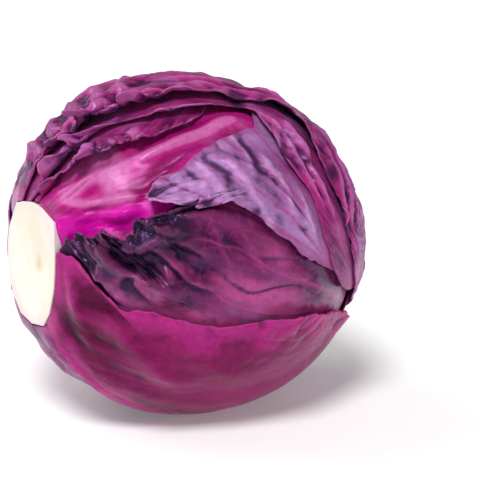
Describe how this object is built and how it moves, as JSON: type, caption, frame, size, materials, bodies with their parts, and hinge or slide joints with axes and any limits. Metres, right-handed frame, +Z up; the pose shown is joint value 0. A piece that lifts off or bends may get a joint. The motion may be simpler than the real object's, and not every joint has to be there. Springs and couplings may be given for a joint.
{
  "type": "red cabbage head",
  "caption": "Round red cabbage head lying on its side, with a flat cut stem end, overlapping wavy-edged leaves and a small flat spot underneath.",
  "frame": {"origin": "on the surface the head rests on, under the middle of its box", "axes": "+Z up; the stem's axis lies along X with its cut end towards -X; the side seen from the front faces -Y"},
  "size_m": [0.1556, 0.1488, 0.1469],
  "materials": {
    "stem_flesh": "moist cut white flesh",
    "inner_leaf": "glossy magenta leaf",
    "top_leaf": "waxy plum leaf",
    "dark_leaf": "glossy near-black violet leaf",
    "waxy_leaf": "lavender leaf with a waxy bloom",
    "smooth_leaf": "smooth satin plum leaf"
  },
  "bodies": {
    "root": {"stem": "stem_flesh", "inner_head": "inner_leaf", "leaf_top_inner": "top_leaf", "leaf_front_ruffled": "dark_leaf", "leaf_right_side": "waxy_leaf", "leaf_top_middle": "top_leaf", "leaf_under": "dark_leaf", "leaf_top_outer": "top_leaf", "leaf_back": "top_leaf", "leaf_lower_front": "smooth_leaf"}
  },
  "joints": []
}
